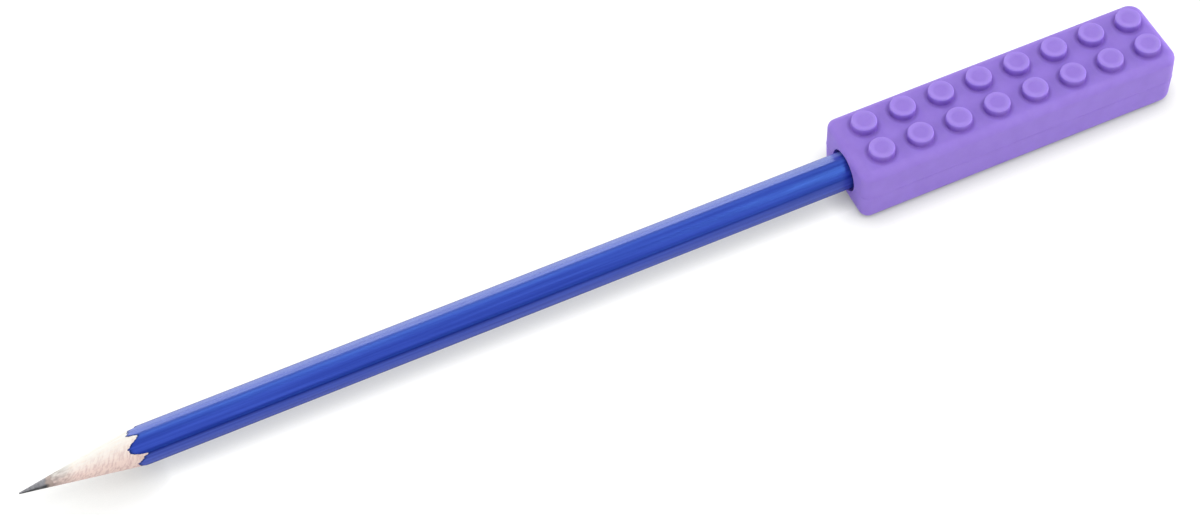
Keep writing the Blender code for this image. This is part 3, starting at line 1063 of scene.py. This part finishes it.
def make_eraser(finish):
    """Rubber plug with a rounded, slightly worn end."""
    edge = ERASER_EDGE_RADIUS
    side_end = ERASER_END - edge
    profile = [(ERASER_START, CAP_RADIUS), (ERASER_START, ERASER_RADIUS)]
    for row in range(1, ERASER_ROWS + 1):
        profile.append((ERASER_START + (side_end - ERASER_START) * row / ERASER_ROWS, ERASER_RADIUS))
    rounding = arc((ERASER_RADIUS - edge, side_end), edge, 0, 90, steps=8)
    profile += [(distance, radius) for radius, distance in rounding[1:]]
    profile += [(ERASER_END, ERASER_RADIUS * share) for share in ERASER_END_SHARES]
    rings = []
    for distance, radius in profile:
        waves = radius * ERASER_WEAR_WAVES
        ring = []
        for angle in even_turn(ERASER_SIDES):
            worn = 0.0
            if distance > ERASER_END - 2 * edge:
                worn = worn_away(ERASER_WEAR, waves * math.cos(angle), waves * math.sin(angle))
            ring.append(around(distance + worn, radius, angle))
        rings.append(ring)
    shape = bmesh.new()
    add_skin(shape, rings)
    mesh = finish_mesh(shape, "eraser_plug", sharp_angle=math.radians(60))
    add_piece("eraser_plug", mesh, "pencil", "eraser", finish)


# Stage

def seen_or_usual(tree, usual, seen):
    """A usual shader, with another on rays that show it: from the camera, off gloss or through glass."""
    path = add_node(tree, "ShaderNodeLightPath").outputs
    directly = calculate(tree, "MAXIMUM", path["Is Camera Ray"], path["Is Glossy Ray"])
    directly = calculate(tree, "MAXIMUM", directly, path["Is Transmission Ray"])
    inputs = {0: directly, 1: usual, 2: seen}
    return add_node(tree, "ShaderNodeMixShader", inputs).outputs["Shader"]


def make_table_white():
    """White that glows for the camera, with the object's soft shadow painted into the glow from nearby
    occlusion; the shadow reaches further under the pencil's point.
    """
    material = bpy.data.materials.new("table_white")
    material.use_nodes = True
    tree = material.node_tree
    tree.nodes.clear()
    plain = add_node(tree, "ShaderNodeBsdfDiffuse", {"Color": TABLE_PLAIN}).outputs["BSDF"]
    shaded = add_node(tree, "ShaderNodeBsdfDiffuse", {"Color": TABLE_SHADED}).outputs["BSDF"]
    reaches = (POINT_SHADOW_REACH, SHADOW_REACH)
    reach = span(tree, distance_from_point(tree), POINT_SHADOW_FADE, reaches)
    # Painted shadow: the glow is dimmed by how much of the sky nearby geometry hides.
    open_sky = add_node(tree, "ShaderNodeAmbientOcclusion", {"Distance": reach}, samples=16)
    outward = add_node(tree, "ShaderNodeVectorMath", {0: own_coordinates(tree)}, operation="LENGTH")
    far = span(tree, outward.outputs["Value"], TABLE_FADE, TABLE_GLOW)
    level = product(tree, open_sky.outputs["AO"], far)
    glow = add_node(tree, "ShaderNodeEmission", {"Color": WHITE, "Strength": level}).outputs["Emission"]
    white = add_node(tree, "ShaderNodeAddShader", {0: shaded, 1: glow}).outputs["Shader"]
    add_node(tree, "ShaderNodeOutputMaterial", {"Surface": seen_or_usual(tree, plain, white)})
    return material


def make_floor():
    """White table under the object."""
    shape = bmesh.new()
    bmesh.ops.create_grid(shape, x_segments=4, y_segments=4, size=TABLE_HALF_SIZE)
    mesh = finish_mesh(shape, "table")
    mesh.materials.append(make_table_white())
    floor = bpy.data.objects.new("table", mesh)
    bpy.context.scene.collection.objects.link(floor)
    floor.location.z = topper_low.z


def make_world():
    """Even white surround, seen as plain white behind the table."""
    world = bpy.data.worlds.new("surround")
    world.use_nodes = True
    bpy.context.scene.world = world
    tree = world.node_tree
    tree.nodes.clear()
    shaders = []
    for strength in (SURROUND_LEVEL, SEEN_LEVEL):
        shader = add_node(tree, "ShaderNodeBackground", {"Color": WHITE, "Strength": strength})
        shaders.append(shader.outputs["Background"])
    add_node(tree, "ShaderNodeOutputWorld", {"Surface": seen_or_usual(tree, *shaders)})


def add_softbox(name, place, size, level, in_gloss=True):
    """Softbox aimed at the object, bright enough to light a white face to the given level."""
    target = (topper_low + lead_low) / 2
    offset = Vector(place) - target
    lamp = bpy.data.lights.new(name, "AREA")
    lamp.shape = "RECTANGLE"
    lamp.size, lamp.size_y = size
    lamp.energy = level * math.pi ** 2 * offset.length_squared
    box = bpy.data.objects.new(name, lamp)
    bpy.context.scene.collection.objects.link(box)
    box.visible_glossy = in_gloss
    box.location = place
    box.rotation_euler = offset.to_track_quat("Z", "Y").to_euler()


def make_lights():
    """Softboxes all round: broad ones above, and lower ones on each side."""
    add_softbox("overhead_softbox", place=(-0.05, -0.1, 1.1), size=(1.5, 1.5), level=0.20)
    add_softbox("key_softbox", place=(-0.05, -0.1, 1.0), size=(0.35, 0.35), level=0.15)
    add_softbox("back_softbox", place=(-0.2, 0.7, 0.8), size=(0.8, 0.6), level=0.20)
    add_softbox("right_softbox", place=(0.8, 0.0, 0.22), size=(0.8, 0.3), level=0.56, in_gloss=False)
    add_softbox("left_softbox", place=(-1.0, 0.0, 0.26), size=(0.8, 0.4), level=0.48, in_gloss=False)
    add_softbox("front_softbox", place=(0.1, -0.8, 0.42), size=(0.8, 0.5), level=0.30)
    add_softbox("back_strip", place=(-0.1, 0.9, 0.14), size=(1.2, 0.26), level=0.30)
    add_softbox("mouth_softbox", place=(0.34, -0.42, 0.9), size=(0.25, 0.25), level=0.12)


def make_camera():
    """Camera at the photograph's place, turn and lens."""
    place = Vector((-0.174612, -0.253517, 0.376336))
    yaw = math.radians(19.5294)
    pitch = math.radians(53.7943)
    roll = math.radians(-5.3939)
    lens = bpy.data.cameras.new("camera")
    lens.sensor_width = 36.0
    lens.sensor_fit = "HORIZONTAL"
    lens.lens = 73.6448
    lens.clip_start = 0.01
    lens.clip_end = 50.0
    ahead = Vector((math.sin(yaw), math.cos(yaw), 0))
    forward = ahead * math.cos(pitch) - Vector((0, 0, math.sin(pitch)))
    level = Vector((math.cos(yaw), -math.sin(yaw), 0))
    upright = level.cross(forward)
    right = level * math.cos(roll) + upright * math.sin(roll)
    top = upright * math.cos(roll) - level * math.sin(roll)
    turned = Matrix((right, top, -forward)).transposed()
    camera = bpy.data.objects.new("camera", lens)
    bpy.context.scene.collection.objects.link(camera)
    camera.matrix_world = Matrix.Translation(place) @ turned.to_4x4()
    bpy.context.scene.camera = camera


def main():
    """The object's pieces with their finishes, and the stage round them."""
    make_topper(make_elastomer())
    make_coat(make_lacquer())
    cedar = make_cedar()
    make_slat("front_case_half", "front_slat", QUARTER, cedar)
    make_slat("rear_case_half", "rear_slat", -QUARTER, cedar)
    make_lead(make_graphite())
    make_ferrule(make_ferrule_metal())
    make_eraser(make_eraser_rubber())
    make_floor()
    make_world()
    make_lights()
    make_camera()
    bpy.context.scene.view_settings.view_transform = "Standard"


main()
